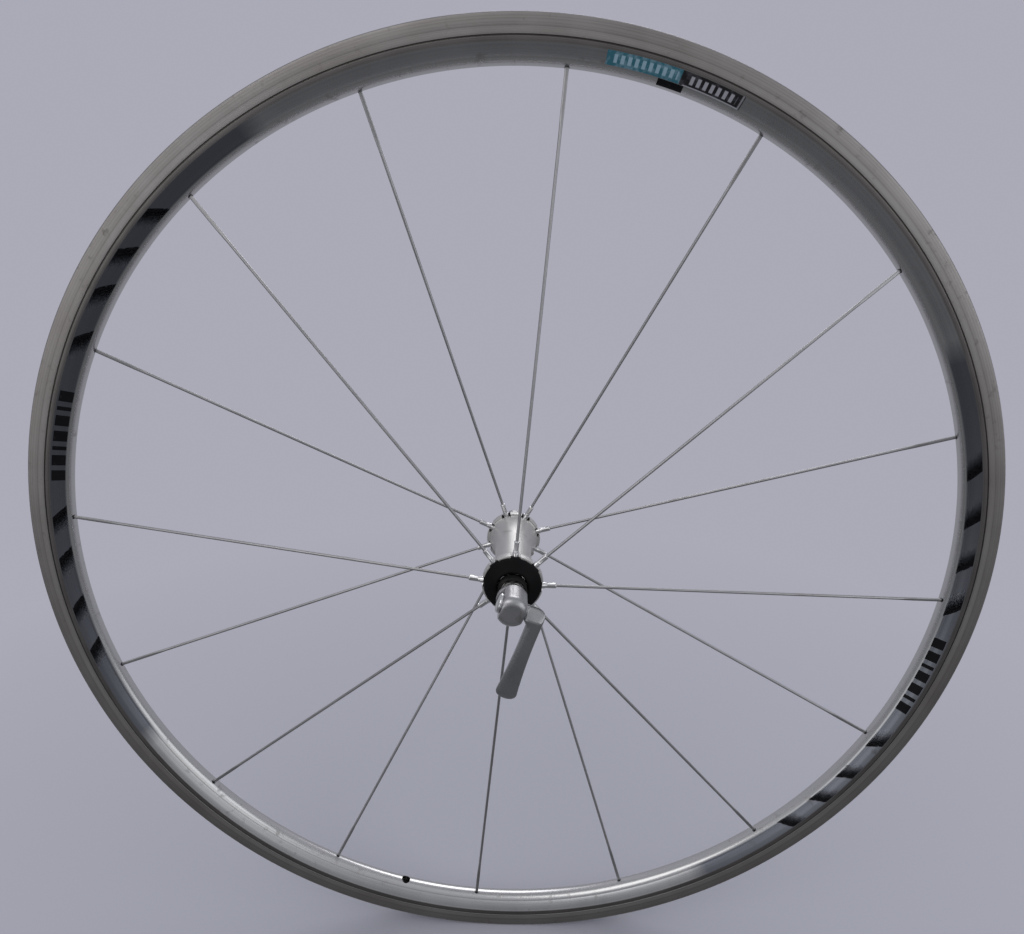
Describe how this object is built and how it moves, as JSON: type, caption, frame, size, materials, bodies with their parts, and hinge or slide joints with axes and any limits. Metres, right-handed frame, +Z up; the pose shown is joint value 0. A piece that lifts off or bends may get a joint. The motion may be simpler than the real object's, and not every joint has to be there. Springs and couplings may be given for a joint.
{
  "type": "bicycle front wheel",
  "caption": "Road bicycle front wheel with a silver clincher rim, straight radial bladed spokes, a cup-and-cone hub and a cam-lever quick-release skewer.",
  "frame": {"origin": "wheel centre, on the axle's axis, midway between the locknut faces and in the middle plane of the rim", "axes": "+Y along the axle, away from the lever, which is on the -Y side; +Z up; +X to the right when the lever side is seen from the front"},
  "size_m": [0.6339, 0.148, 0.634],
  "materials": {
    "rim_alloy": "satin anodised inner walls with machined brake tracks",
    "sleeve_alloy": "as extruded",
    "tape": "woven nylon strip",
    "sticker": "printed film",
    "nipple_plating": "bright nickel plating",
    "spoke_steel": "drawn stainless wire",
    "shell_alloy": "satin polished",
    "black_plastic": "moulded",
    "bearing_steel": "ground",
    "ball_steel": "polished",
    "axle_steel": "rolled thread",
    "seal_rubber": "moulded",
    "plated_steel": "zinc plated",
    "skewer_alloy": "satin polished",
    "grip_steel": "toothed and plated",
    "spring_wire": "bright wire",
    "lever_alloy": "satin forged",
    "cap_chrome": "polished",
    "rod_steel": "drawn rod",
    "nylon": "natural nylon"
  },
  "bodies": {
    "axle_set": {"axle": "axle_steel", "left_cone": "bearing_steel", "right_cone": "bearing_steel", "left_dust_seal": "seal_rubber", "right_dust_seal": "seal_rubber", "left_washer": "plated_steel", "right_washer": "plated_steel", "left_locknut": "plated_steel", "right_locknut": "plated_steel"},
    "wheel": {"rim": "rim_alloy", "rim_joint_sleeve": "sleeve_alloy", "rim_tape": "tape", "rim_sticker": "sticker", "left_nipples": "nipple_plating", "right_nipples": "nipple_plating", "spoke_01": "spoke_steel", "spoke_02": "spoke_steel", "spoke_03": "spoke_steel", "spoke_04": "spoke_steel", "spoke_05": "spoke_steel", "spoke_06": "spoke_steel", "spoke_07": "spoke_steel", "spoke_08": "spoke_steel", "spoke_09": "spoke_steel", "spoke_10": "spoke_steel", "spoke_11": "spoke_steel", "spoke_12": "spoke_steel", "spoke_13": "spoke_steel", "spoke_14": "spoke_steel", "spoke_15": "spoke_steel", "spoke_16": "spoke_steel", "hub_shell": "shell_alloy", "left_end_cap": "black_plastic", "right_end_cap": "black_plastic", "left_bearing_cup": "bearing_steel", "right_bearing_cup": "bearing_steel"},
    "left_ball_ring": {"left_balls": "ball_steel"},
    "right_ball_ring": {"right_balls": "ball_steel"},
    "skewer_end": {"skewer_body": "skewer_alloy", "skewer_body_grip_ring": "grip_steel", "left_spring": "spring_wire"},
    "lever": {"cam_lever": "lever_alloy", "cam_shaft_cap": "cap_chrome"},
    "rod": {"skewer_rod": "rod_steel"},
    "spring_follower": {"right_spring": "spring_wire"},
    "nut": {"adjusting_nut": "skewer_alloy", "nut_grip_ring": "grip_steel", "nut_friction_insert": "nylon"}
  },
  "joints": [
    {"name": "wheel_spin", "type": "hinge", "parent": "axle_set", "child": "wheel", "pos_m": [0, 0, 0], "axis": [0, 1, 0], "continuous": true},
    {"name": "left_balls_roll", "type": "hinge", "parent": "axle_set", "child": "left_ball_ring", "pos_m": [0, -0.0385, 0], "axis": [0, 1, 0], "continuous": true},
    {"name": "right_balls_roll", "type": "hinge", "parent": "axle_set", "child": "right_ball_ring", "pos_m": [0, 0.0385, 0], "axis": [0, 1, 0], "continuous": true},
    {"name": "skewer_turn", "type": "hinge", "parent": "axle_set", "child": "skewer_end", "pos_m": [0, -0.06, 0], "axis": [0, 1, 0], "continuous": true},
    {"name": "lever_swing", "type": "hinge", "parent": "skewer_end", "child": "lever", "pos_m": [0, -0.066, 0], "axis": [-0.9537, 0, 0.3007], "range_deg": [0, 180]},
    {"name": "rod_pull", "type": "slide", "parent": "skewer_end", "child": "rod", "axis": [0, 1, 0], "range_m": [0, 0.0012]},
    {"name": "nut_travel", "type": "slide", "parent": "rod", "child": "spring_follower", "axis": [0, 1, 0], "range_m": [0, 0.0032]},
    {"name": "nut_turn", "type": "hinge", "parent": "spring_follower", "child": "nut", "pos_m": [0, 0.065, 0], "axis": [0, -1, 0], "range_deg": [0, 1440]}
  ],
  "couplings": [
    {"joint": "left_balls_roll", "follows": "wheel_spin", "ratio": 0.6014},
    {"joint": "right_balls_roll", "follows": "wheel_spin", "ratio": 0.6014},
    {"joint": "rod_pull", "follows": "lever_swing", "m_per_rad": 0.00038197},
    {"joint": "nut_turn", "follows": "nut_travel", "rad_per_m": 7854}
  ]
}
